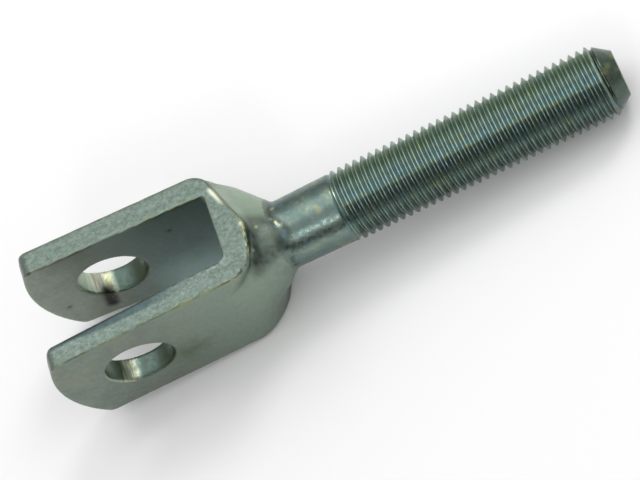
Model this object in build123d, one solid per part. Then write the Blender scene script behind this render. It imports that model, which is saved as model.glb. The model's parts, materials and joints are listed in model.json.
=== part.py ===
from build123d import *
import os
from math import atan2, cos, degrees, radians, sqrt, tan

# Clevis rod end: a forged fork with a pin bore through both ears, a flared neck, and a
# threaded shank. It is one piece of steel.
#
# It is drawn with the pin axis on Y through the origin, the shank along +X and the width
# of the ears along Z. At the end it is turned about the pin axis, so that it lies on the
# back of the fork and on the end of the thread, as it comes to rest on a flat surface.
# Lengths are in millimetres and angles in degrees.

# Fork
bore_diameter = 9.2
ear_width = 18.6
ear_thickness = 3.15
ear_splay = 1.3              # lean of each ear away from the middle plane
ear_tip_radius = 19.3
ear_tip_corner_radius = 1.2
pin_to_ear_tip = 10.75
slot_width = 9.3             # between the ears, at the floor of the slot
slot_corner_radius = 1.1
pin_to_slot_floor = 16.9

# Back of the fork: the web is thickest on the centre line and thins towards two shoulders
web_thickness = 3.7
shoulder_thickness = 1.9
shoulder_width = 12.6
heel_setback = 1.4           # from the slot's floor back to where the shoulders start
shoulder_radius = 2.4
web_crown_radius = 3.0

# Neck: a domed flare from the fork down to the shank
neck_length = 6.0            # from the floor of the slot to the start of the shank
neck_heel_radius = 11.6
neck_bulge = 0.2
neck_fillet_radius = 1.2

# Shank and thread (3/8 in, 24 to the inch; the solid is the thread's major cylinder)
shank_diameter_at_neck = 8.9
shank_diameter_at_thread = 9.15
thread_diameter = 9.525
thread_length = 38.1
tip_chamfer_length = 2.5
tip_face_diameter = 5.9
pin_to_tip = 69.65

# Room by which a cutter stands out of what it cuts
cutter_overrun = 1.0

# Places along X that follow from the sizes above
heel_x = pin_to_slot_floor - heel_setback
shoulder_x = pin_to_slot_floor + shoulder_thickness
crown_x = pin_to_slot_floor + web_thickness
shank_x = pin_to_slot_floor + neck_length
thread_x = pin_to_tip - thread_length
chamfer_x = pin_to_tip - tip_chamfer_length
mouth_x = -pin_to_ear_tip - cutter_overrun


def slot_half_width(x):
    """Distance from the middle plane to the inner face of an ear at x."""
    return slot_width / 2 + (pin_to_slot_floor - x) * tan(radians(ear_splay))


def fork_half_width(x):
    """Distance from the middle plane to the outer face of an ear at x."""
    return slot_half_width(x) + ear_thickness / cos(radians(ear_splay))


def mirrored_outline(points):
    """Closed face in XY from points on the +Y side, listed from the -X end, and their mirror."""
    other_side = [(x, -y) for x, y in reversed(points) if y != 0]
    return make_face(Polyline(*points, *other_side, close=True))


def corner_at(face, x, y):
    """The face's vertices that lie at x and at y to either side of the middle plane."""
    return face.vertices().filter_by(lambda v: abs(v.X - x) < 1e-6 and abs(abs(v.Y) - abs(y)) < 1e-6)


def through_ear_width(face):
    """A plan outline carried over the whole width of the ears."""
    return extrude(face, amount=ear_width / 2, both=True)


def fork_plan():
    """Outer outline of the fork seen along the ear width, gabled behind the slot."""
    face = mirrored_outline([
        (mouth_x, fork_half_width(mouth_x)),
        (heel_x, fork_half_width(heel_x)),
        (shoulder_x, shoulder_width / 2),
        (crown_x, 0),
    ])
    face = fillet(corner_at(face, shoulder_x, shoulder_width / 2), shoulder_radius)
    return fillet(corner_at(face, crown_x, 0), web_crown_radius)


def ear_side():
    """Side outline of the ears seen along the pin, with the shallow arc of their tips."""
    half = ear_width / 2
    tip_sagitta = ear_tip_radius - sqrt(ear_tip_radius**2 - half**2)
    corner_x = tip_sagitta - pin_to_ear_tip
    tip = ThreePointArc((corner_x, -half), (-pin_to_ear_tip, 0), (corner_x, half))
    rest = Polyline((corner_x, half), (crown_x, half), (crown_x, -half), (corner_x, -half))
    face = make_face([tip, rest])
    face = fillet(face.vertices().group_by(Axis.X)[0], ear_tip_corner_radius)
    return Plane.XZ * face


def neck():
    """Domed flare, cut to the width and the outer faces of the ears."""
    dome = SagittaArc((heel_x, neck_heel_radius), (shank_x, shank_diameter_at_neck / 2), neck_bulge)
    sides = Polyline(
        (shank_x, shank_diameter_at_neck / 2),
        (shank_x, 0),
        (heel_x, 0),
        (heel_x, neck_heel_radius),
    )
    flare = revolve(make_face([dome, sides]), Axis.X)
    limits = mirrored_outline([
        (heel_x, fork_half_width(heel_x)),
        (shank_x, fork_half_width(shank_x)),
    ])
    return flare & through_ear_width(limits)


def stem():
    """Plain shank and thread, turned about X, with the chamfered end."""
    profile = Polyline(
        (pin_to_slot_floor + shoulder_thickness, 0),
        (pin_to_slot_floor + shoulder_thickness, shank_diameter_at_neck / 2),
        (shank_x, shank_diameter_at_neck / 2),
        (thread_x, shank_diameter_at_thread / 2),
        (thread_x, thread_diameter / 2),
        (chamfer_x, thread_diameter / 2),
        (pin_to_tip, tip_face_diameter / 2),
        (pin_to_tip, 0),
        close=True,
    )
    return revolve(make_face(profile), Axis.X)


def slot():
    """The gap between the ears, open at their tips, with rounded corners at its floor."""
    face = mirrored_outline([
        (mouth_x - cutter_overrun, slot_half_width(mouth_x - cutter_overrun)),
        (pin_to_slot_floor, slot_half_width(pin_to_slot_floor)),
    ])
    face = fillet(corner_at(face, pin_to_slot_floor, slot_half_width(pin_to_slot_floor)), slot_corner_radius)
    return extrude(face, amount=ear_width / 2 + cutter_overrun, both=True)


def pin_bore():
    """The pin's hole, through both ears."""
    length = 2 * (fork_half_width(-pin_to_ear_tip) + cutter_overrun)
    return Rot(90, 0, 0) * Cylinder(bore_diameter / 2, length)


def lying(shape):
    """Turned about the pin axis until the web's crown and the thread's end stand level."""
    drop = ear_width / 2 - thread_diameter / 2
    return Rot(0, degrees(atan2(drop, chamfer_x - crown_x)), 0) * shape


def clevis():
    """The whole forging, with its slot and bore cut."""
    ears = through_ear_width(fork_plan()) & extrude(ear_side(), amount=fork_half_width(mouth_x), both=True)
    body = ears + neck() + stem()
    ring = body.edges().filter_by(GeomType.CIRCLE).filter_by(lambda e: abs(e.center().X - shank_x) < 1e-3)
    body = fillet(ring, neck_fillet_radius)
    return body - slot() - pin_bore()


os.makedirs("parts", exist_ok=True)
export_step(lying(clevis()), "parts/clevis_rod_end.step")
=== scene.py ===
import json
from math import cos, pi, radians, sin, tan

import bmesh
import bpy
import numpy as np
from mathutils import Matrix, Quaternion, Vector


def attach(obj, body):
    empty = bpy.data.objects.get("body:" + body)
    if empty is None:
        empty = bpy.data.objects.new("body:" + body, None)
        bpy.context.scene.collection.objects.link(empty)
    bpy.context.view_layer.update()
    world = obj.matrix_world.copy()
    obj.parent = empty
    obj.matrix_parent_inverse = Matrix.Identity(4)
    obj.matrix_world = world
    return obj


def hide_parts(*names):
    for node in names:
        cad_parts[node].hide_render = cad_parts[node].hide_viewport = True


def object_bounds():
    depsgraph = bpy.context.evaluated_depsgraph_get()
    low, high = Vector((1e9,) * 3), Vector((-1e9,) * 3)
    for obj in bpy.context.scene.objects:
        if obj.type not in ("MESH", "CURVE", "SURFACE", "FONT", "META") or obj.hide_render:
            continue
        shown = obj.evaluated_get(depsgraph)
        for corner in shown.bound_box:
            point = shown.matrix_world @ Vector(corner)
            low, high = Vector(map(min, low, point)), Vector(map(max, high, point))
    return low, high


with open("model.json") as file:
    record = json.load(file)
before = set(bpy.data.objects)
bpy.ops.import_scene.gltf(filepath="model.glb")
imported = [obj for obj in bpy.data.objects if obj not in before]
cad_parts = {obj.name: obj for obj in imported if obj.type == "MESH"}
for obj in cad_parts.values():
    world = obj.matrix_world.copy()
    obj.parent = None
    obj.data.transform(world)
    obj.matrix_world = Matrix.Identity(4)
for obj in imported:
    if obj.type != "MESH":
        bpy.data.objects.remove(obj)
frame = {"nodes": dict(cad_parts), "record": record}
cad_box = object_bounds()

# The forging is worked out in millimetres with the pin axis on Y through the origin, the shank
# along +X and the width of the ears along Z. lying() turns it as the part rests, in metres.
# The near side is -Y and the far side is +Y. Two numbers in brackets may be where a change starts
# and where it is done, and four are a band: where it starts, is full, ebbs and ends.
MM = 0.001
mounts = {mount["name"]: mount for mount in frame["record"]["mounts"]}
rest_cos, rest_sin = mounts["threaded_shank"]["axis"][0], -mounts["threaded_shank"]["axis"][2]
bore_radius = mounts["pin_bore"]["dims"]["r_mm"]
thread_radius = mounts["threaded_shank"]["dims"]["r_mm"]

# Fork
ear_width = 18.6
ear_half_width = ear_width / 2
ear_thickness = 3.15
ear_splay = radians(1.3)
ear_tip_radius = 19.3
ear_tip_corner_radius = 0.8
pin_to_ear_tip = 10.75
slot_width = 9.3
slot_corner_radius, far_slot_corner_radius = 1.1, 0.5
# How much nearer the ears' inner faces come at the bottom: the same along the near ear and at the
# far ear's tip, and more on the far ear towards the web
slot_draft, far_slot_draft = 0.2, 0.7
far_slot_draft_rise = (-8, 4)
pin_to_slot_floor = 16.9
edge_radius = 0.32
rolled_edge_radius = 1.15    # the near ear's inner edge is rolled over towards its tip
rolled_edge_end_x = 8.0
bore_edge_radius = 0.28

# Back of the fork: two flat flanks of the web, each given by a point on it and its slope. On the
# near side the upper edge is swollen outwards, from halfway up to the edge.
flank_point, flank_slope = (19.05, 3.6), radians(20.0)
swollen_point, swollen_slope = (20.45, -3.1), radians(8.5)
swollen_from_z = 4.5
crown_radius = 0.5
far_shoulder_radius = 2.0
far_shoulder_rise = (6.5, 8.8)
near_shoulder_radius, lower_near_shoulder_radius = 3.0, 4.7
lower_near_shoulder_rise = (0, 6)
lower_near_fullness = 0.4
lower_near_fullness_rise = (0, 5)
flank_edge_radius = 0.85     # the far flank's upper edge, at its widest rounding
flank_edge_y, flank_edge_x = (0.8, 3.0, 5.5, 7.0), (16.0, 17.5)

# Neck: a cone about X, a little fuller towards +Y, and the shank, which leans slightly in Y
neck_slope, neck_slope_change = 0.99, 0.05
neck_corner_radius = 0.6
neck_tongue = 1.4            # how far the neck runs out along the shank on the upper near side
neck_tongue_sides = (-0.25, 0.5, 0.75, 1.15)
neck_tongue_rise = (0, 0.5)
neck_tongue_flatness = 0.42
neck_fullness = 0.12         # extra slope on the lower near side, and how far out it starts
neck_fullness_sideways, neck_fullness_down = (0.1, 0.7), (-0.1, 0.4)
neck_fullness_foot = 0.2
pocket_place, pocket_spread, pocket_depth = (20.9, -3.4, 6.4), (1.3, 2.8, 2.4), 0.10
neck_valley_radius = 0.7
neck_ring_radius = 0.3
shank_x, shank_radius = 22.9, 4.45
shank_radius_at_thread = 4.575
shank_start = 1.5            # its cylinder starts this far behind the slot's floor, in the web
shank_offset, shank_lean = -0.46, 0.0123
shank_offset_place = 3.1     # where the offset is measured, from the slot's floor
axis_guard = 1.0             # keeps a direction round X steady close to the axis

# Small flat struck across the upper edge of the far flank, and nicks in the skin
struck_point, struck_normal = (18.47, 3.6, 9.3), (0.352, 0.150, 0.924)
struck_middle_y, struck_half_length = 3.7, 2.1
struck_curl = 0.35
struck_edge_radius = 0.06
gouge_start, gouge_end = (-2.5, 5.2, -4.1), (-3.2, 5.0, -6.9)
gouge_width, gouge_depth = 1.25, 0.3

# Thread: 3/8 in, 24 to the inch, with a chamfered end
pitch = 25.4 / 24
thread_x = 31.55
thread_run_in = 0.8
thread_depth = 0.61 * pitch
pin_to_tip = 69.65
tip_chamfer_length = 2.5
tip_face_radius = 2.95
# Wear of the crests: its depth, and the length of its waves and their radius round X
crest_wear, crest_wear_length, crest_wear_radius = 0.02, 1.4, 4
crest_wear_seed = 5
crest_share = 0.1            # rows less deep than this share of the thread are crests

# Mesh
fork_voxel = 0.25
fork_remeshes = 2
join_x = 26.0
end_margin = 0.475           # how far before the join the fork's quads end
thread_columns = 96
cap_turns = 1.5              # the turns that close in over the flat end
spare_turns = 4
weld_distance, ring_weld_distance = 1e-7, 1e-8
sharp_angle = radians(35)

# Where each kind of surface lies, for the finish, and where light and shade are painted on it.
# Depths are from the ears' upper and lower edge faces, and across is from the slot's side into the
# ear.
fork_end_gap = 0.4
upper_depth = (0.3, 0.6)
sawn_depth = (0.05, 0.28)
bored_depth = (0.05, 0.3)
slotted_depth = (0.05, 0.4)
turned_half_rise = 0.2
drawn_x, drawn_near = (19.5, 21.0), (0, 1.5)
# Painted light: the far side of the neck is painted lighter.
neck_x, neck_far, neck_depth = (17.5, 19.0), (0.0, 1.6), (0.4, 1)
# Painted light: the near side of the forging is painted lighter towards the web.
painted_light_end_x, painted_light_end_near = (1, 13), (0, 3)
light_edge_x, light_edge_across = (9, 17), (1.6, 2.8)
# Painted light: the slot's faces are painted lighter and bluer towards the web.
deep_x = (-3, 8)
# Painted reflection: the far ear's inner face is painted lighter and bluer towards its bottom.
low_width, low_down, low_x = 0.4, (0.0, 9.5), (2, 9)
heel_x = (15, 18)

# Marks on the edges, and painted shade along the near ear's rolled edge and painted highlights at
# its inner corner and on the struck flat
line_width = 0.22
crown_y = -1.0               # where the lines of the two flanks meet
burr_depth, burr_height = 0.1, 0.3
border_least, border_x = 0.3, (3, 11)
# Painted shade along the near ear's rolled inner edge
rolled_band, rolled_depth, rolled_x = (-1.0, -0.7, 0.4, 0.85), (0.8, 1.4), (5, 13)
rolled_widening, rolled_widening_x = 0.7, (-8, 1)
# A painted highlight on the near ear's inner edge by the slot's corner
corner_highlight_across, corner_highlight_width, corner_highlight_x = 0.35, 0.35, (12.0, 14.5, 16.4, 17.6)
# The struck flat's bare metal, painted much brighter as a highlight
struck_skin, struck_y, struck_from_x = 0.09, (1.5, 1.9, 5.1, 5.7), 17

# Marks on the faces, and painted shade in the valley and the pocket. Specks and glints are given by
# their place and radius; the glints are painted highlights.
gouge_mark_radius, gouge_mark_from_bore = 0.95, (0.02, 0.3)
smudge_place, smudge_spread, smudge_beyond_y = (5.6, -2.9), (3.2, 2.4), -6
# Painted shade in the valley behind the swollen near flank
valley_band, valley_lean, valley_middle_z = (-2.2, -1.0, 0.1, 0.9), 0.25, 6
valley_up, valley_y = (1.0, 4.5), (-6.6, -4.8, -2, -0.5)
# Painted shade in the pocket sunk into the neck
pocket_shade_size, pocket_shade_depth = 0.9, (0.3, 0.7)
ring_place, ring_width = 0.25, 0.33
ring_fading, ring_fading_y = 0.65, (0.5, 2.5)
specks = [
    (-7.9, 5.1, -3.1, 0.35),
    (10.3, 4.75, 4.8, 0.35),
    (-7.75, 5.2, 9.2, 0.3),
]
# Painted highlights
glints = [
    (20.4, -1.2, 9.2, 0.3),
    (19.6, -5.5, 9.2, 0.14),
    (21.3, -0.9, 6.1, 0.17),
    (19.9, -3.5, 5.8, 0.15),
    (23.5, 1.6, 4.0, 0.25),
    (23.1, 0.0, 4.6, 0.2),
    (23.5, -0.6, 4.6, 0.22),
    (24.0, -1.2, 4.5, 0.2),
]

# Painted highlight and painted shade in the bores, by their place along X: strips of the lower half
# of each bore's wall, lit on the left and shaded on the right, and shade that grows towards +X
bore_left_x, bore_flash_x = (-4.2, -3.6, -2.1, -1.3), (-3.9, -3.5, -2.7, -2.2)
bore_right_x, bore_right_near_shift = (-1.9, -0.9), 0.5
bore_shade_x = (0.2, 3.4)

# Bands along the shank, in degrees round X from +Z towards the near side. The shank's side band is
# painted light; along the thread the pale band is a painted highlight, the gold band painted
# glints, the dark and dull bands painted shade, and the olive band a tint.
# Painted light: the plain shank's lower near side is painted lighter.
shank_side_band = (30, 42, 62, 85)
shank_side_start, shank_side_ebb = 1.5, 0.5
# The pale band is a painted highlight, the gold band painted glints and the dark band painted
# shade.
pale_band, gold_band, dark_band = (11, 17, 25, 29), (20, 23, 27, 31), (27, 32, 42, 50)
# The olive band is a tint; the dull band is painted shade on the lower side.
olive_band, dull_band = (-70, -45, -14, 2), (66, 80, 120, 150)
thread_stain_rise = 1
thread_flank_end_gap = 1
tip_rise = 0.2
thread_stain_end = (66.9, 67.2)

# Patterns of the finish: their scale per metre, detail and roughness, the noise levels at which
# they start and are full, and their strength at each
clouds = (420.0, 4.0, 0.6, 0.35, 0.65, 0.0, 1.0)
grain = (2600.0, 6.0, 0.7, 0.3, 0.7, 0.0, 0.25)
patches = (170.0, 5.0, 0.6, 0.48, 0.68, 0.0, 0.5)
drawing = (900.0, 4.0, 0.6, 0.40, 0.64, 0.0, 0.45)
# breaks up the painted shade in the pocket
pocket_shade_noise = (600.0, 3.0, 0.6, 0.2, 0.5, 0.0, 0.25)
# breaks up the painted shade in the valley
valley_shade_pattern = (420.0, 4.0, 0.6, 0.36, 0.62, 0.35, 0.9)
smears = (650.0, 4.0, 0.6, 0.35, 0.6, 0.3, 0.85)
sawing = (2000.0, 6.0, 0.8, 0.36, 0.64, 0.0, 1.0)
flecks = (2600.0, 5.0, 0.75, 0.45, 0.7, 0.0, 0.75)
boring = (2200.0, 3.0, 0.6, 0.38, 0.62, 0.0, 1.0)
fine_boring = (3800.0, 2.0, 0.5, 0.42, 0.58, 0.0, 1.0)
shank_clouds = (900.0, 3.0, 0.6, 0.3, 0.6, 0.3, 0.7)
gold_patches = (420.0, 4.0, 0.7, 0.56, 0.68, 0.0, 0.35)
blue_patches = (420.0, 4.0, 0.7, 0.46, 0.34, 0.0, 0.35)
band_streaks = (1500.0, 3.0, 0.6, 0.35, 0.6, 0.45, 1.0)
gold_streaks = (1700.0, 3.0, 0.6, 0.45, 0.62, 0.0, 0.75)
# breaks up both the olive tint and the painted shade of the dull band
uneven_tint_and_shade = (600.0, 3.0, 0.6, 0.35, 0.6, 0.3, 0.6)
border_dashes = (650.0, 4.0, 0.6, 0.35, 0.65, 0.05, 0.85)
burr_dots = (1500.0, 4.0, 0.6, 0.42, 0.68, 0.0, 0.7)
bright_burr_dots = (1500.0, 4.0, 0.6, 0.4, 0.6, 0.0, 1.0)
ring_dirt = (500.0, 3.0, 0.6, 0.38, 0.58, 0.0, 0.75)
gouge_dirt = (1400.0, 4.0, 0.6, 0.3, 0.5, 0.75, 1.0)
gloss = (1500.0, 5.0, 0.6, 0.3, 0.7, 0.30, 0.46)

# How a pattern is squeezed along X, Y and Z, which draws it out the other way
across_bore = (1.0, 0.05, 1.0)
across_neck = (0.35, 1.0, 0.35)
along_folds = (2.4, 0.7, 0.5)
along_saw = (0.75, 1.0, 1.0)

# Colours of the bare finish, and of light and shade painted on it
forged_dark, forged_light = (0.17, 0.21, 0.175), (0.205, 0.245, 0.20)
grain_colour = (0.13, 0.17, 0.15)
patch_colour = (0.215, 0.225, 0.165)
# painted light on the near side, lighter towards the web
painted_light_end_colour = (0.225, 0.29, 0.235)
# painted light on the neck's far side
lit_neck_colour = (0.315, 0.40, 0.31)
drawn_colour = (0.33, 0.42, 0.38)
sawn_dark, sawn_light = (0.125, 0.165, 0.135), (0.205, 0.26, 0.23)
light_edge_colour = (0.29, 0.37, 0.35)
slotted_dark, slotted_light = (0.21, 0.245, 0.20), (0.24, 0.275, 0.235)
# painted light in the slot, towards the web
lit_deep_slot_colour = (0.23, 0.30, 0.285)
# painted reflection low on the far ear's inner face
low_reflection_colour = (0.48, 0.65, 0.63)
bored_dark, bored_light = (0.35, 0.43, 0.33), (0.44, 0.53, 0.42)
# Painted highlight strips in the bores, streaked by the boring
near_highlight_streak_dark, near_highlight_streak_light = (0.21, 0.235, 0.15), (0.38, 0.41, 0.35)
far_highlight_streak_dark, far_highlight_streak_light = (0.36, 0.36, 0.20), (0.62, 0.66, 0.56)
# a brighter painted highlight in the near bore
bore_highlight_colour = (0.58, 0.61, 0.42)
# painted shade in the bores, right of the highlight and growing towards +X
bore_right_shade_colour = (0.095, 0.135, 0.115)
bore_shade_colour = (0.075, 0.095, 0.06)
turned_dark, turned_light = (0.115, 0.165, 0.148), (0.15, 0.205, 0.185)
thread_colour = (0.17, 0.225, 0.20)
# painted light: the thread's flanks lighter, against their shade
lit_thread_flank_colour = (0.40, 0.52, 0.48)
# painted shade on the chamfer and the flat end
shaded_tip_colour = (0.08, 0.11, 0.085)

# Colours of stains and marks, and of light and shade painted on the part
# painted light on the plain shank's lower near side
lit_shank_side_colour = (0.25, 0.33, 0.29)
gold_colour, blue_colour = (0.34, 0.35, 0.12), (0.18, 0.28, 0.38)
# painted highlight band and painted gold glints along the thread
highlight_band_colour, gold_glint_band_colour = (0.29, 0.42, 0.43), (0.46, 0.48, 0.27)
# painted shade band along the thread
shade_band_colour = (0.07, 0.09, 0.085)
# an olive tint, and painted shade on the thread's lower side
olive_band_colour, dull_shade_band_colour = (0.23, 0.32, 0.20), (0.07, 0.095, 0.08)
# painted shade in the pocket
pocket_shade_colour = (0.06, 0.08, 0.07)
# painted shade in the valley behind the near flank
valley_shade_colour = (0.025, 0.032, 0.028)
smudge_colour = (0.095, 0.13, 0.075)
border_colour = (0.25, 0.27, 0.10)
# painted shade on the near ear's rolled edge
rolled_shade_colour = (0.065, 0.10, 0.105)
# painted highlight at the near inner corner
corner_highlight_colour = (0.50, 0.60, 0.60)
burr_colour, bright_burr_colour = (0.31, 0.35, 0.20), (0.50, 0.50, 0.20)
# bare metal of the struck flat, with a painted highlight
struck_highlight_colour = (0.84, 0.88, 0.70)
# painted highlights
glint_colour = (0.66, 0.66, 0.42)
ring_colour = (0.05, 0.06, 0.045)
speck_colour = (0.03, 0.035, 0.03)
gouge_colour = (0.022, 0.018, 0.014)

# Strengths of the even coats
painted_light_end_strength = 0.9
lit_thread_flank_strength = 0.55
shaded_tip_strength = 0.9
shade_band_strength = 0.36
rolled_shade_strength = 0.85
speck_strength = 0.9

# Gloss and fine relief
sawn_extra_roughness, turned_lost_roughness, thread_extra_roughness = 0.10, 0.08, 0.04
fine_relief, coarse_relief = (5200.0, 4.0, 0.65), (1100.0, 3.0, 0.5)
fine_relief_share = 0.35
relief_strength, relief_depth = 0.55, 0.00006

# Camera: where it aims, from which side, how far away and turned how far about its own axis
aim = Vector((0.02519, 0.0, -0.008738))
camera_azimuth, camera_elevation, camera_roll = 29.56, 59.018, -53.624
camera_distance = 0.277318
camera_lens = 121.281
camera_clip = (0.01, 10.0)
sensor_width = 36.0

# Floor and light. A lamp has a direction, a distance, a size and a power.
floor_half_width = 3.0
floor_colour = (0.88, 0.88, 0.88)
floor_roughness, floor_specular = 0.9, 0.1
world_level_dark, world_level_low, world_level_high = 0.12, 0.55, 1.0
world_side_rise, world_up_rise = (-0.7, 0.2), (0.3, 0.8)
overhead_lamp = ((-0.17, 0.28, 0.94), 0.7, 0.5, 0.9)
window_lamp = ((0.5, 0.45, 0.74), 0.7, 0.2, 1.0)
near_lamp = ((-0.17, -0.69, 0.70), 0.7, 0.10, 0.28)


def lying(points):
    """Turns points about the pin axis to the part's place at rest, and millimetres to metres."""
    x, y, z = points.T
    return np.stack([x * rest_cos + z * rest_sin, y, z * rest_cos - x * rest_sin], axis=1) * MM


def upright(points):
    """The way back from lying()."""
    x, y, z = points.T / MM
    return np.stack([x * rest_cos - z * rest_sin, y, z * rest_cos + x * rest_sin], axis=1)


def smooth_step(value, low, high):
    """0 below low, 1 above high and an S-curve between them."""
    share = np.clip((value - low) / (high - low), 0, 1)
    return share * share * (3 - 2 * share)


def window(value, low, full, ebb, high):
    """0 up to low, 1 from full to ebb and 0 again from high."""
    return smooth_step(value, low, full) * (1 - smooth_step(value, ebb, high))


def swell(distance, width, power=2):
    """1 at no distance, falling to 0 beyond the width: exp(-(distance / width) ** power)."""
    return np.exp(-((distance / width) ** power))


def round_edge(a, b, radius):
    """Inside both shapes: the larger distance, and near the edge that to a quarter round."""
    corner = np.hypot(np.maximum(a + radius, 0), np.maximum(b + radius, 0))
    return np.minimum(np.maximum(a, b), -radius) + corner


def round_valley(a, b, radius):
    """Inside either shape, with the inner corner between them filled to a radius."""
    return -round_edge(-a, -b, radius)


def waves(points, length, seed, count=14, slowest=0.6, fastest=1.5, calming=1.2):
    """A smooth random field of about -1 to 1: the sum of count plane waves in seeded directions,
    sin(place . wave number + phase), over the square root of count * calming."""
    random = np.random.default_rng(seed)
    directions = random.normal(size=(count, 3))
    directions /= np.linalg.norm(directions, axis=1)[:, None]
    numbers = directions * (2 * pi / length) * random.uniform(slowest, fastest, (count, 1))
    phases = random.uniform(0, 2 * pi, count)
    return np.sin(points @ numbers.T + phases).sum(1) / np.sqrt(count * calming)


def flank(x, y, point, slope):
    """Distance behind a flat flank of the web, which leans by slope from square to X."""
    return (x - point[0]) * cos(slope) + (y - point[1]) * sin(slope)


def across_ear(x, y):
    """Distance from the slot's straight side into the ear, across the ear: the ears lean apart."""
    return np.abs(y) - slot_width / 2 - (pin_to_slot_floor - x) * tan(ear_splay)


def draft_at(x, y, z):
    """How much nearer an ear's inner face comes, growing evenly from its upper edge down."""
    far_growth = smooth_step(x, *far_slot_draft_rise) * (y > 0)
    at_bottom = slot_draft + (far_slot_draft - slot_draft) * far_growth
    return at_bottom * (ear_half_width - z) / ear_width


def directions_round_x(y, z, radial):
    """The Y and Z parts of the direction from X to a point."""
    guarded = np.maximum(radial, axis_guard)
    return y / guarded, z / guarded


def tongue_at(sideways, upwards):
    """1 where the neck runs out along the shank, from the direction round X."""
    return window(-sideways, *neck_tongue_sides) * smooth_step(upwards, *neck_tongue_rise)


def struck_distance(points):
    """Distance outside the small flat, which bends away from the forging at its two ends."""
    along = (points[:, 1] - struck_middle_y) / struck_half_length
    return (points - np.array(struck_point)) @ np.array(struck_normal) - struck_curl * along**4


def gouge_distance(points):
    """Distance from the line of the gouge under the bore."""
    start, end = np.array(gouge_start), np.array(gouge_end)
    share = np.clip((points - start) @ (end - start) / ((end - start) @ (end - start)), 0, 1)
    return np.linalg.norm(points - start - share[:, None] * (end - start), axis=1)


def pocket_distance(points):
    """Distance from the middle of the pocket forged into the neck, in units of its spread."""
    return np.linalg.norm((points - np.array(pocket_place)) / np.array(pocket_spread), axis=1)


def shank_offset_at(x):
    """How far the shank's middle lies to the side of X: a line that crosses X towards the tip."""
    return shank_offset + shank_lean * (x - pin_to_slot_floor - shank_offset_place)


def shank_radius_at(x):
    """The plain shank's radius, which grows evenly from the neck to the thread."""
    share = np.clip((x - shank_x) / (thread_x - shank_x), 0, 1)
    return shank_radius + (shank_radius_at_thread - shank_radius) * share


def gable_field(x, y, z):
    """Distance behind both flanks of the web.

    The near one goes over to the swollen flank at its top, near + (swollen - near) * swelling,
    and stands out a little at its bottom.
    """
    far = flank(x, y, flank_point, flank_slope)
    near = flank(x, -y, flank_point, flank_slope)
    swollen = flank(x, y, swollen_point, -swollen_slope)
    swelling = smooth_step(z, swollen_from_z, ear_half_width)
    fullness = lower_near_fullness * smooth_step(-z, *lower_near_fullness_rise)
    near = near + (swollen - near) * swelling - fullness
    return round_edge(far, near, crown_radius)


def neck_field(points):
    """Distance outside a cone about X: (r - shank radius - slope * (foot - x)) / hypot(1, slope).

    Its slope and its foot change with the direction round X, and a pocket is sunk into it.
    """
    x, y, z = points.T
    radial = np.hypot(y, z)
    sideways, upwards = directions_round_x(y, z, radial)
    tongue = tongue_at(sideways, upwards)
    lower_near = smooth_step(-sideways, *neck_fullness_sideways)
    lower_near = lower_near * smooth_step(-upwards, *neck_fullness_down)
    slope = neck_slope + neck_slope_change * sideways + neck_fullness * lower_near
    slope = slope * (1 - neck_tongue_flatness * tongue)
    foot = shank_x + neck_tongue * tongue + neck_fullness_foot * lower_near
    cone = (radial - shank_radius - slope * (foot - x)) / np.hypot(1, slope)
    return cone + pocket_depth * swell(pocket_distance(points), 1)


def shoulder_radius_at(y, z):
    """The rounding from the web into the ears' outer faces.

    On the far side it grows towards the upper and lower edges, on the near side downwards.
    """
    far = far_shoulder_radius - neck_corner_radius
    far = neck_corner_radius + far * smooth_step(np.abs(z), *far_shoulder_rise)
    near = lower_near_shoulder_radius - near_shoulder_radius
    near = near_shoulder_radius + near * smooth_step(-z, *lower_near_shoulder_rise)
    return np.where(y < 0, near, far)


def fork_field(points):
    """Distance from the forging's skin, negative inside, at each point.

    The back is the larger of the gabled web and a cone about X. It is cut to the outer faces of
    the ears, which lean apart by the splay, and to their side outline, two flats and the arc of
    the tips. The slot and the bore are then taken away and the shank's cylinder is added. Each
    edge has its own radius.
    """
    x, y, z = points.T
    inner = across_ear(x, y) * cos(ear_splay)
    outer = inner - ear_thickness
    back = round_valley(gable_field(x, y, z), neck_field(points), neck_valley_radius)
    plan = round_edge(back, outer, shoulder_radius_at(y, z))

    flats = np.abs(z) - ear_half_width
    tips = np.hypot(x + pin_to_ear_tip - ear_tip_radius, z) - ear_tip_radius
    outline = round_edge(flats, tips, ear_tip_corner_radius)
    softened = window(y, *flank_edge_y) * smooth_step(x, *flank_edge_x) * (z > 0)
    body = round_edge(plan, outline, edge_radius + (flank_edge_radius - edge_radius) * softened)
    body = round_edge(body, struck_distance(points), struck_edge_radius)

    rolled = np.clip((rolled_edge_end_x - x) / (rolled_edge_end_x + pin_to_ear_tip), 0, 1)
    rolled = edge_radius + (rolled_edge_radius - edge_radius) * rolled * (y < 0) * (z > 0)
    slot_corner = np.where(y > 0, far_slot_corner_radius, slot_corner_radius)
    slot = round_edge(inner + draft_at(x, y, z), x - pin_to_slot_floor, slot_corner)
    body = round_edge(body, -slot, rolled)
    body = round_edge(body, bore_radius - np.hypot(x, z), bore_edge_radius)
    body = body + gouge_depth * swell(gouge_distance(points), gouge_width)

    stem = np.hypot(y - shank_offset_at(x), z) - shank_radius_at(x)
    stem = np.maximum(stem, np.maximum(pin_to_slot_floor + shank_start - x, x - join_x))
    return round_valley(body, stem, neck_ring_radius)


def gradient(field, points, step=0.01):
    """Central differences of a field along each axis."""
    columns = []
    for axis in np.eye(3) * step:
        columns.append((field(points + axis) - field(points - axis)) / (2 * step))
    return np.stack(columns, axis=1)


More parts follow.
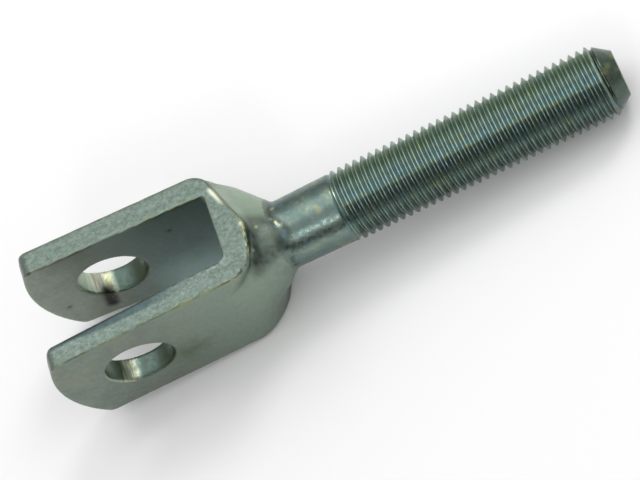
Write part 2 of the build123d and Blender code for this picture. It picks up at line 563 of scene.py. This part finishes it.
def on_skin(field, points, rounds, longest_step=0.3, least_square=0.2):
    """Steps points along the field's slope on to its zero."""
    for _ in range(rounds):
        slope = gradient(field, points)
        square = np.maximum((slope**2).sum(1), least_square)
        distance = np.clip(field(points), -longest_step, longest_step)
        points = points - slope * (distance / square)[:, None]
    return points


def relaxed(points, edges):
    """Each point at the mean of its neighbours along the mesh's edges."""
    both = np.concatenate([edges, edges[:, ::-1]])
    count = np.bincount(both[:, 0], minlength=len(points))
    total = [np.bincount(both[:, 0], points[both[:, 1], i], len(points)) for i in range(3)]
    return np.stack(total, axis=1) / np.maximum(count, 1)[:, None]


def base_of_fork():
    """A closed copy of the solid up to the join, with its corners merged."""
    node = frame["nodes"]["clevis_rod_end"]
    work = bmesh.new()
    work.from_mesh(node.data)
    bmesh.ops.remove_doubles(work, verts=work.verts, dist=weld_distance)
    cut = lying(np.array([[join_x, 0, 0]]))[0]
    axis = (rest_cos, 0, -rest_sin)
    parts = work.verts[:] + work.edges[:] + work.faces[:]
    made = bmesh.ops.bisect_plane(work, geom=parts, plane_co=cut, plane_no=axis, clear_outer=True)
    rim = [e for e in made["geom_cut"] if isinstance(e, bmesh.types.BMEdge)]
    bmesh.ops.contextual_create(work, geom=rim)
    mesh = bpy.data.meshes.new("fork_base")
    work.to_mesh(mesh)
    work.free()
    return mesh


def in_even_quads(mesh):
    """The mesh's closed form again in small quads of one size."""
    base = bpy.data.objects.new("fork_base", mesh)
    bpy.context.scene.collection.objects.link(base)
    remesh = base.modifiers.new("even", "REMESH")
    remesh.mode = "VOXEL"
    remesh.voxel_size = fork_voxel * MM
    evaluated = base.evaluated_get(bpy.context.evaluated_depsgraph_get())
    even = bpy.data.meshes.new_from_object(evaluated)
    bpy.data.objects.remove(base)
    return even


def mesh_arrays(mesh):
    """The mesh's points, and the two ends of each of its edges."""
    points = np.empty(len(mesh.vertices) * 3)
    mesh.vertices.foreach_get("co", points)
    edges = np.empty(len(mesh.edges) * 2, dtype=np.int64)
    mesh.edges.foreach_get("vertices", edges)
    return points.reshape(-1, 3), edges.reshape(-1, 2)


def make_fork(first_rounds=8, smoothings=3, later_rounds=3):
    """The solid's copy drawn on to the forging's skin, more than once, so its quads stay even."""
    mesh = base_of_fork()
    for _ in range(fork_remeshes):
        mesh = in_even_quads(mesh)
        points, edges = mesh_arrays(mesh)
        points = on_skin(fork_field, upright(points), first_rounds)
        for _ in range(smoothings):
            points = on_skin(fork_field, relaxed(points, edges), later_rounds)
        mesh.vertices.foreach_set("co", lying(points).ravel())
        mesh.update()
    return mesh


def thread_rows():
    """Rows in one turn: each one's place in the pitch, root to root, and share of the depth."""
    place = np.array([-0.5, -0.43, -0.33, -0.20, -0.065, 0.0, 0.065, 0.20, 0.33, 0.43])
    depth = np.array([1.0, 0.985, 0.74, 0.37, 0.015, 0.0, 0.015, 0.37, 0.74, 0.985])
    return place, depth


def crest_wear_at(along, angle):
    """How much the crests are worn down: waves on a ring round X, without their sign."""
    across, up = crest_wear_radius * np.cos(angle), crest_wear_radius * np.sin(angle)
    ring = np.stack([along.ravel(), across.ravel(), up.ravel()], 1)
    wear = waves(ring, crest_wear_length, crest_wear_seed)
    return crest_wear * np.abs(wear.reshape(along.shape))


def make_stem():
    """The plain shank and the thread, as one sheet wound round X.

    The sheet's rows follow the helix: along = start + pitch * (turn + place in the pitch + share
    of a turn), so the end of each row meets the row one turn on. The radius is the plain shank's,
    and past the run-in the thread's outside less the depth of the row, limited by the cone of the
    chamfer. Rows before the start lie on its ring. Rows past the tip close in over the flat end.
    """
    place, depth = thread_rows()
    rows_per_turn = len(place)
    cap_length = cap_turns * pitch
    turns = int((pin_to_tip + cap_length - join_x) / pitch) + spare_turns
    rows, columns = np.arange(turns * rows_per_turn), np.arange(thread_columns)
    turn, column = np.meshgrid(rows, columns, indexing="ij")
    row = turn % rows_per_turn
    share = column / thread_columns
    along = join_x + pitch * (turn // rows_per_turn - 0.5 + place[row] + share)
    angle = 2 * pi * share
    cut = depth[row] * thread_depth

    grown = smooth_step(along, thread_x - thread_run_in, thread_x + thread_run_in)
    crest = thread_radius - crest_wear_at(along, angle) * (depth[row] < crest_share)
    radius = (1 - grown) * shank_radius_at(along) + grown * (crest - cut)
    cone_growth = thread_radius - tip_face_radius
    cone = tip_face_radius + (pin_to_tip - along) * cone_growth / tip_chamfer_length
    radius = np.minimum(radius, cone)
    past = np.clip((along - pin_to_tip) / cap_length, 0, 1)
    radius = np.where(past > 0, tip_face_radius * (1 - past), radius)
    along = np.clip(along, join_x, pin_to_tip)
    side = radius * np.cos(angle) + shank_offset_at(along)
    points = np.stack([along, side, radius * np.sin(angle)], axis=-1).reshape(-1, 3)

    index = np.arange(len(points)).reshape(along.shape)
    beside = np.roll(index, -1, axis=1)
    beside[:, -1] = np.concatenate([index[rows_per_turn:, 0], np.full(rows_per_turn, -1)])
    faces = np.stack([index[:-1], index[1:], beside[1:], beside[:-1]], axis=-1).reshape(-1, 4)
    faces = faces[(faces >= 0).all(1)]
    mesh = bpy.data.meshes.new("stem")
    mesh.from_pydata(lying(points), [], faces)
    return mesh


def closed_stem():
    """The stem with the seam of its turns and the ring at its start welded."""
    stem = bmesh.new()
    stem.from_mesh(make_stem())
    bmesh.ops.remove_doubles(stem, verts=stem.verts, dist=ring_weld_distance)
    mesh = bpy.data.meshes.new("stem_closed")
    stem.to_mesh(mesh)
    stem.free()
    return mesh


def make_body():
    """The fork and the stem joined into one closed skin in the plain shank."""
    fork = make_fork()
    points, _ = mesh_arrays(fork)
    corners = np.empty(len(fork.loops), dtype=np.int64)
    fork.loops.foreach_get("vertex_index", corners)
    farthest = upright(points)[corners.reshape(-1, 4), 0].max(axis=1)
    fork.polygons.foreach_set("select", farthest > join_x - end_margin)
    work = bmesh.new()
    work.from_mesh(fork)
    bmesh.ops.delete(work, geom=[f for f in work.faces if f.select], context="FACES")
    work.from_mesh(closed_stem())
    rim = [e for e in work.edges if e.is_boundary]
    bmesh.ops.bridge_loops(work, edges=rim)
    bmesh.ops.recalc_face_normals(work, faces=work.faces)
    mesh = bpy.data.meshes.new("clevis")
    work.to_mesh(mesh)
    work.free()
    return mesh


def fork_masks(points):
    """Where the forging is sawn, bored or slotted, the marks on its edges and faces, and the light
    and shade painted on it.
    """
    x, y, z = points.T
    near, far = y < 0, y > 0
    on_fork = x < shank_x - fork_end_gap
    depth = ear_half_width - np.abs(z)
    across = across_ear(x, y)
    beyond_bore = np.hypot(x, z) - bore_radius
    slot_distance = np.maximum(across + draft_at(x, y, z), x - pin_to_slot_floor)
    far_flank = flank(x, y, flank_point, flank_slope)
    swollen = flank(x, y, swollen_point, -swollen_slope)
    on_top = (z > 0) * on_fork * (1 - smooth_step(depth, *upper_depth))

    # The burr follows the outer edges, and the border all edges of the upper face. A flank's
    # line ends at the crown, past which a whole millimetre is added to the distance from it.
    outer_edge = np.abs(across - ear_thickness)
    on_near_flank = y < crown_y
    burr_distance = np.minimum(outer_edge, np.abs(swollen) + ~on_near_flank)
    burr = swell(depth - burr_depth, burr_height) * swell(burr_distance, line_width)
    border_distance = np.minimum(np.abs(slot_distance), outer_edge)
    border_distance = np.minimum(border_distance, np.abs(far_flank) + on_near_flank)
    border_growth = border_least + (1 - border_least) * smooth_step(x, *border_x)

    # Painted shade along the near ear's rolled inner edge.
    rolled = window(across - rolled_widening * smooth_step(x, *rolled_widening_x), *rolled_band)
    rolled = rolled * (1 - smooth_step(x, *rolled_x)) * (1 - smooth_step(depth, *rolled_depth))
    # Painted highlight at the near ear's inner corner.
    corner_highlight = swell(across - corner_highlight_across, corner_highlight_width) * window(x, *corner_highlight_x)
    # The struck flat's bare metal, painted much brighter as a highlight.
    struck_highlight = swell(struck_distance(points), struck_skin) * window(y, *struck_y)
    # Painted shade: the valley behind the swollen near flank.
    valley_shade = window(swollen - valley_lean * (z - valley_middle_z), *valley_band)
    valley_shade = valley_shade * smooth_step(z, *valley_up) * window(y, *valley_y)
    # Painted reflection low on the far ear's inner face.
    low = swell(slot_distance, low_width) * smooth_step(-z, *low_down) * smooth_step(x, *low_x)
    smudge = swell(x - smudge_place[0], smudge_spread[0])
    smudge = smudge * swell(z - smudge_place[1], smudge_spread[1])
    # Painted light: the far side of the neck, painted lighter.
    neck = smooth_step(x, *neck_x) * smooth_step(y, *neck_far) * smooth_step(depth, *neck_depth)
    # Painted shade in the pocket.
    pocket = swell(pocket_distance(points), pocket_shade_size, power=4)
    gouge = swell(gouge_distance(points), gouge_mark_radius, power=4)
    light_edge = (1 - smooth_step(x, *light_edge_x)) * (1 - smooth_step(across, *light_edge_across))
    return {
        "sawn": (1 - smooth_step(depth, *sawn_depth)) * on_fork,
        "bored": (1 - smooth_step(beyond_bore, *bored_depth)) * on_fork,
        "slotted": (1 - smooth_step(np.abs(slot_distance), *slotted_depth)) * on_fork,
        "neck": neck * on_fork,
        "drawn": smooth_step(x, *drawn_x) * smooth_step(-y, *drawn_near) * on_fork,
        "painted_light_end": smooth_step(x, *painted_light_end_x) * smooth_step(-y, *painted_light_end_near) * on_fork,
        "light_edge": light_edge * near,
        "deep": smooth_step(x, *deep_x),
        "low": low * far * on_fork,
        "heel": smooth_step(x, *heel_x),
        "burr": burr * (z > 0) * on_fork,
        "border": swell(border_distance, line_width) * on_top * border_growth,
        "rolled": rolled * near * (z > 0),
        "corner_highlight": corner_highlight * near * on_top,
        "struck_highlight": struck_highlight * on_top * (x > struck_from_x),
        "gouge": gouge * smooth_step(beyond_bore, *gouge_mark_from_bore),
        "smudge": smudge * (y < smudge_beyond_y),
        "valley_shade": valley_shade * smooth_step(depth, *upper_depth),
        "pocket": pocket * smooth_step(depth, *pocket_shade_depth),
        "far_ear": 1.0 * far,
        "glint": spots(points, glints),
        "speck": spots(points, specks),
    }


def bore_masks(points):
    """Painted highlight and painted shade: lit and shaded strips down the lower half of each bore's
    wall, and shade growing towards +X.
    """
    x, y, z = points.T
    return {
        # painted highlights on the lower half of the bores' walls
        "bore_left_highlight": window(x, *bore_left_x) * (z < 0),
        "bore_flash_highlight": window(x, *bore_flash_x) * (z < 0) * (y < 0),
        # painted shade right of the highlight, and growing towards +X
        "bore_right_shade": smooth_step(x + bore_right_near_shift * (y < 0), *bore_right_x) * (z < 0),
        "bore_shade": smooth_step(x, *bore_shade_x),
    }


def shank_masks(points):
    """Where the shank is turned, threaded and chamfered, the ring at its foot, its tint, and the
    light and shade painted on it.
    """
    x, y, z = points.T
    radial = np.hypot(y - shank_offset_at(x) * (x > shank_x), z)
    foot = shank_x + neck_tongue * tongue_at(*directions_round_x(y, z, radial))
    ring_strength = 1 - ring_fading * smooth_step(y, *ring_fading_y)
    tip_x = pin_to_tip - tip_chamfer_length
    cut_share = np.clip((thread_radius - radial) / thread_depth, 0, 1)
    flanks = 4 * cut_share * (1 - cut_share)
    flanks = flanks * (x > thread_x) * (x < pin_to_tip - thread_flank_end_gap)
    threaded = smooth_step(x, thread_x, thread_x + thread_stain_rise)
    side = (shank_x, shank_x + shank_side_start, thread_x - shank_side_ebb, thread_x)
    turned_to = np.degrees(np.arctan2(shank_offset_at(x) - y, z))
    masks = {
        "turned": smooth_step(x, shank_x - turned_half_rise, shank_x + turned_half_rise),
        "ring": swell(x - foot - ring_place, ring_width) * ring_strength,
        # painted light on the plain shank's lower near side
        "lit_shank_side": window(turned_to, *shank_side_band) * window(x, *side),
        "thread": threaded * (1 - smooth_step(x, *thread_stain_end)),
        "lit_thread_flank": flanks,
        # painted shade on the chamfer and the flat end
        "tip": smooth_step(x, tip_x, tip_x + tip_rise),
    }
    bands = {
        "pale": pale_band,
        "gold": gold_band,
        "dark": dark_band,
        "olive": olive_band,
        "dull": dull_band,
    }
    for name, band in bands.items():
        masks[f"{name}_band"] = window(turned_to, *band) * threaded * (x < tip_x)
    return masks


def spots(points, places):
    """1 at each place (x, y, z and radius), falling to 0 round it."""
    total = np.zeros(len(points))
    for *place, radius in places:
        total = np.maximum(total, swell(np.linalg.norm(points - np.array(place), axis=1), radius))
    return total


def paint_masks(mesh):
    """Stores where each kind of surface lies, 0 to 1 at each vertex, for the finish to read."""
    points = upright(mesh_arrays(mesh)[0])
    masks = fork_masks(points) | bore_masks(points) | shank_masks(points)
    for name, values in masks.items():
        attribute = mesh.attributes.new(name, "FLOAT", "POINT")
        attribute.data.foreach_set("value", values.astype(np.float32))


def add_node(tree, kind, settings=None, **inputs):
    """A node with its settings, and its inputs given by name or, as i0, by number. A socket given
    as an input is linked."""
    node = tree.nodes.new(kind)
    for name, value in (settings or {}).items():
        setattr(node, name, value)
    for name, value in inputs.items():
        numbered = name[1:].isdigit()
        socket = node.inputs[int(name[1:]) if numbered else name.replace("_", " ")]
        if isinstance(value, bpy.types.NodeSocket):
            tree.links.new(value, socket)
        else:
            socket.default_value = value
    return node


class Finish:
    """The nodes of one material: patterns on the piece's own coordinates, laid in coats."""

    def __init__(self, name):
        self.material = bpy.data.materials.new(name)
        self.material.use_nodes = True
        self.tree = self.material.node_tree
        self.shader = self.tree.nodes["Principled BSDF"]
        self.place = add_node(self.tree, "ShaderNodeTexCoord").outputs["Object"]

    def mask(self, name):
        """A mask kept on the mesh."""
        return add_node(self.tree, "ShaderNodeAttribute", {"attribute_name": name}).outputs["Fac"]

    def noise(self, scale, detail, rough, squeeze=None):
        """Noise over the piece, squeezed along each axis if so said."""
        place = self.place
        if squeeze:
            mapping = add_node(self.tree, "ShaderNodeMapping", None, Vector=place, Scale=squeeze)
            place = mapping.outputs["Vector"]
        made = add_node(self.tree, "ShaderNodeTexNoise", None, Vector=place, Scale=scale,
                        Detail=detail, Roughness=rough)
        return made.outputs["Fac"]

    def pattern(self, scale, detail, rough, low, high, least, most, squeeze=None):
        """Noise spread from the levels low and high to the strengths least and most."""
        smooth = {"interpolation_type": "SMOOTHSTEP"}
        noise = self.noise(scale, detail, rough, squeeze)
        made = add_node(self.tree, "ShaderNodeMapRange", smooth, i0=noise, i1=low, i2=high,
                        i3=least, i4=most)
        return made.outputs["Result"]

    def maths(self, operation, a, b):
        """The result of two values, kept from 0 to 1."""
        settings = {"operation": operation, "use_clamp": True}
        return add_node(self.tree, "ShaderNodeMath", settings, i0=a, i1=b).outputs[0]

    def mix(self, share, under, over):
        """One colour laid over another by a share: the node's inputs 6 and 7, and output 2."""
        made = add_node(self.tree, "ShaderNodeMix", {"data_type": "RGBA"}, i0=share)
        for socket, value in ((made.inputs[6], under), (made.inputs[7], over)):
            if isinstance(value, bpy.types.NodeSocket):
                self.tree.links.new(value, socket)
            else:
                socket.default_value = (*value, 1)
        return made.outputs[2]

    def coat(self, under, over, mask, strength=None):
        """A colour laid over another where a mask says, as strongly as a number or pattern says."""
        share = self.mask(mask)
        if strength is not None:
            share = self.maths("MULTIPLY", share, strength)
        return self.mix(share, under, over)


def forged_colour(finish):
    """The forging's own skin: clouded and grained, drawn out over the neck, with a smudge, painted
    light on the near side and the neck's far side, and painted shade in the pocket and the valley.
    """
    colour = finish.mix(finish.pattern(*clouds), forged_dark, forged_light)
    colour = finish.mix(finish.pattern(*grain), colour, grain_colour)
    colour = finish.mix(finish.pattern(*patches), colour, patch_colour)
    # Painted light: the forging's near side is painted lighter towards the web.
    colour = finish.coat(colour, painted_light_end_colour, "painted_light_end", painted_light_end_strength)
    # Painted light: the far side of the neck is painted lighter.
    colour = finish.coat(colour, lit_neck_colour, "neck")
    colour = finish.coat(colour, drawn_colour, "drawn", finish.pattern(*drawing, across_neck))
    # Painted shade darkens the pocket sunk into the neck.
    colour = finish.coat(colour, pocket_shade_colour, "pocket", finish.pattern(*pocket_shade_noise))
    # Painted shade: the valley behind the swollen near flank is painted nearly black.
    colour = finish.coat(colour, valley_shade_colour, "valley_shade", finish.pattern(*valley_shade_pattern, along_folds))
    return finish.coat(colour, smudge_colour, "smudge", finish.pattern(*smears))


def cut_colour(finish, colour):
    """Laid over the forged skin: the sawn edge faces, the slot, the bores and the turned shank,
    with painted light and shade in the slot and the bores, on the shank's side, on the thread's
    flanks and at the tip.
    """
    sawn = finish.mix(finish.pattern(*sawing, along_saw), sawn_dark, sawn_light)
    sawn = finish.coat(sawn, light_edge_colour, "light_edge", finish.pattern(*flecks, along_saw))
    colour = finish.coat(colour, sawn, "sawn")

    slotted = finish.mix(finish.pattern(*clouds), slotted_dark, slotted_light)
    # Painted light: the slot's faces lighter and bluer towards the web.
    slotted = finish.coat(slotted, lit_deep_slot_colour, "deep")
    # Painted reflection: the far ear's inner face lighter and bluer towards its bottom.
    slotted = finish.coat(slotted, low_reflection_colour, "low")
    colour = finish.coat(colour, slotted, "slotted")

    streaks = finish.pattern(*boring, across_bore)
    bored = finish.mix(streaks, bored_dark, bored_light)
    # Painted highlight strips on the lower half of the bores' walls, streaked by the boring.
    left = finish.mix(streaks, near_highlight_streak_dark, near_highlight_streak_light)
    left = finish.coat(left, finish.mix(streaks, far_highlight_streak_dark, far_highlight_streak_light), "far_ear")
    bored = finish.coat(bored, left, "bore_left_highlight")
    fine_streaks = finish.pattern(*fine_boring, across_bore)
    # A brighter painted highlight in the near bore.
    bored = finish.coat(bored, bore_highlight_colour, "bore_flash_highlight", fine_streaks)
    # Painted shade in the bores: right of the highlight, and growing towards +X.
    bored = finish.coat(bored, bore_right_shade_colour, "bore_right_shade")
    bored = finish.coat(bored, bore_shade_colour, "bore_shade")
    colour = finish.coat(colour, bored, "bored")

    turned = finish.mix(finish.pattern(*clouds), turned_dark, turned_light)
    turned = finish.coat(turned, thread_colour, "thread")
    # Painted light: the plain shank's lower near side is painted lighter.
    turned = finish.coat(turned, lit_shank_side_colour, "lit_shank_side", finish.pattern(*shank_clouds))
    colour = finish.coat(colour, turned, "turned")
    # Painted light: the thread's flanks are painted lighter, softening their shade.
    colour = finish.coat(colour, lit_thread_flank_colour, "lit_thread_flank", lit_thread_flank_strength)
    # Painted shade: the chamfer and the flat end are painted dark.
    return finish.coat(colour, shaded_tip_colour, "tip", shaded_tip_strength)


def stained_colour(finish, colour):
    """Thin colours of the passivated zinc: patches on the turned metal and an olive tint along the
    thread, with a painted highlight band, painted glints and painted shade bands along it.
    """
    colour = finish.coat(colour, gold_colour, "turned", finish.pattern(*gold_patches))
    colour = finish.coat(colour, blue_colour, "turned", finish.pattern(*blue_patches))
    # A painted highlight band along the thread, with painted gold glints at its edge.
    colour = finish.coat(colour, highlight_band_colour, "pale_band", finish.pattern(*band_streaks))
    colour = finish.coat(colour, gold_glint_band_colour, "gold_band", finish.pattern(*gold_streaks))
    # A painted shade band along the thread.
    colour = finish.coat(colour, shade_band_colour, "dark_band", shade_band_strength)
    uneven = finish.pattern(*uneven_tint_and_shade)
    # An olive tint on the far side, and painted shade on the lower side.
    colour = finish.coat(colour, olive_band_colour, "olive_band", uneven)
    return finish.coat(colour, dull_shade_band_colour, "dull_band", uneven)


def marked_colour(finish, colour):
    """Marks of handling and cutting: lines along the edges, spots, dirt and the gouge, with painted
    shade on the rolled edge and painted highlights at the inner corner, the struck flat and the
    glints.
    """
    colour = finish.coat(colour, border_colour, "border", finish.pattern(*border_dashes))
    # Painted shade along the near ear's rolled inner edge.
    colour = finish.coat(colour, rolled_shade_colour, "rolled", rolled_shade_strength)
    # A painted highlight on the near ear's inner edge by the slot's corner.
    colour = finish.coat(colour, corner_highlight_colour, "corner_highlight", finish.pattern(*flecks, along_saw))
    colour = finish.coat(colour, burr_colour, "burr", finish.pattern(*burr_dots))
    bright_burr = finish.maths("MULTIPLY", finish.mask("burr"), finish.mask("heel"))
    bright_burr = finish.maths("MULTIPLY", bright_burr, finish.pattern(*bright_burr_dots))
    colour = finish.mix(bright_burr, colour, bright_burr_colour)
    # The struck flat's bare metal, with a painted highlight.
    colour = finish.coat(colour, struck_highlight_colour, "struck_highlight")
    # Painted highlights at the glints.
    colour = finish.coat(colour, glint_colour, "glint")
    colour = finish.coat(colour, ring_colour, "ring", finish.pattern(*ring_dirt))
    colour = finish.coat(colour, speck_colour, "speck", speck_strength)
    return finish.coat(colour, gouge_colour, "gouge", finish.pattern(*gouge_dirt))


def zinc_plated_steel():
    """Clear zinc over forged steel: mottled, matt on the sawn edges, brighter where it was cut."""
    finish = Finish("zinc_plated_steel")
    colour = cut_colour(finish, forged_colour(finish))
    colour = marked_colour(finish, stained_colour(finish, colour))
    finish.tree.links.new(colour, finish.shader.inputs["Base Color"])
    finish.shader.inputs["Metallic"].default_value = 1.0

    rough = finish.pattern(*gloss)
    sawn = finish.maths("MULTIPLY", finish.mask("sawn"), sawn_extra_roughness)
    turned = finish.maths("MULTIPLY", finish.mask("turned"), turned_lost_roughness)
    threaded = finish.maths("MULTIPLY", finish.mask("thread"), thread_extra_roughness)
    rough = finish.maths("ADD", rough, sawn)
    rough = finish.maths("SUBTRACT", rough, turned)
    rough = finish.maths("ADD", rough, threaded)
    finish.tree.links.new(rough, finish.shader.inputs["Roughness"])

    fine, coarse = finish.noise(*fine_relief), finish.noise(*coarse_relief)
    height = add_node(finish.tree, "ShaderNodeMath", {"operation": "MULTIPLY_ADD"}, i0=fine,
                      i1=fine_relief_share, i2=coarse).outputs[0]
    bump = add_node(finish.tree, "ShaderNodeBump", None, Strength=relief_strength,
                    Distance=relief_depth, Height=height)
    finish.tree.links.new(bump.outputs["Normal"], finish.shader.inputs["Normal"])
    return finish.material


def make_clevis():
    """The whole part: it replaces the solid and rides on its body."""
    mesh = make_body()
    paint_masks(mesh)
    mesh.shade_smooth()
    mesh.set_sharp_from_angle(angle=sharp_angle)
    mesh.materials.append(zinc_plated_steel())
    clevis = bpy.data.objects.new("clevis", mesh)
    bpy.context.scene.collection.objects.link(clevis)
    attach(clevis, "root")
    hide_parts("clevis_rod_end")


def make_floor():
    """A plain pale floor at the height on which the part rests."""
    mesh = bpy.data.meshes.new("floor")
    half, height = floor_half_width, cad_box[0][2]
    front = [(-half, -half, height), (half, -half, height)]
    back = [(half, half, height), (-half, half, height)]
    mesh.from_pydata(front + back, [], [(0, 1, 2, 3)])
    material = bpy.data.materials.new("floor")
    material.use_nodes = True
    shader = material.node_tree.nodes["Principled BSDF"]
    shader.inputs["Base Color"].default_value = (*floor_colour, 1)
    shader.inputs["Roughness"].default_value = floor_roughness
    shader.inputs["Specular IOR Level"].default_value = floor_specular
    mesh.materials.append(material)
    floor = bpy.data.objects.new("floor", mesh)
    bpy.context.scene.collection.objects.link(floor)


def make_lamp(name, direction, distance, size, power):
    """A square soft lamp that shines at the part from a direction."""
    data = bpy.data.lights.new(name, "AREA")
    data.size = size
    data.energy = power
    lamp = bpy.data.objects.new(name, data)
    bpy.context.scene.collection.objects.link(lamp)
    towards = Vector(direction).normalized()
    lamp.location = aim + towards * distance
    lamp.rotation_mode = "QUATERNION"
    lamp.rotation_quaternion = towards.to_track_quat("Z", "Y")


def make_world():
    """A pale room: bright overhead, greyer towards the horizon and darkest on the near side."""
    world = bpy.data.worlds.new("studio")
    world.use_nodes = True
    tree = world.node_tree
    direction = add_node(tree, "ShaderNodeTexCoord").outputs["Generated"]
    axes = add_node(tree, "ShaderNodeSeparateXYZ", None, Vector=direction).outputs
    smooth = {"interpolation_type": "SMOOTHSTEP"}
    side = add_node(tree, "ShaderNodeMapRange", smooth, i0=axes["Y"], i1=world_side_rise[0],
                    i2=world_side_rise[1], i3=world_level_dark, i4=world_level_low)
    level = add_node(tree, "ShaderNodeMapRange", smooth, i0=axes["Z"], i1=world_up_rise[0],
                     i2=world_up_rise[1], i3=side.outputs["Result"], i4=world_level_high)
    tree.nodes["Background"].inputs["Color"].default_value = (1, 1, 1, 1)
    tree.links.new(level.outputs["Result"], tree.nodes["Background"].inputs["Strength"])
    bpy.context.scene.world = world


def make_camera():
    """Looks back along sin(a) cos(e), -cos(a) cos(e), sin(e): the azimuth and the elevation."""
    a, e = radians(camera_azimuth), radians(camera_elevation)
    back = Vector((sin(a) * cos(e), -cos(a) * cos(e), sin(e)))
    data = bpy.data.cameras.new("camera")
    data.lens = camera_lens
    data.sensor_width = sensor_width
    data.clip_start, data.clip_end = camera_clip
    camera = bpy.data.objects.new("camera", data)
    bpy.context.scene.collection.objects.link(camera)
    camera.location = aim + back * camera_distance
    camera.rotation_mode = "QUATERNION"
    roll = Quaternion((0, 0, 1), radians(camera_roll))
    camera.rotation_quaternion = (-back).to_track_quat("-Z", "Y") @ roll
    bpy.context.scene.camera = camera


make_clevis()
make_floor()
make_world()
make_lamp("overhead_lamp", *overhead_lamp)
make_lamp("window_lamp", *window_lamp)
make_lamp("near_lamp", *near_lamp)
make_camera()
bpy.context.scene.view_settings.view_transform = "Standard"
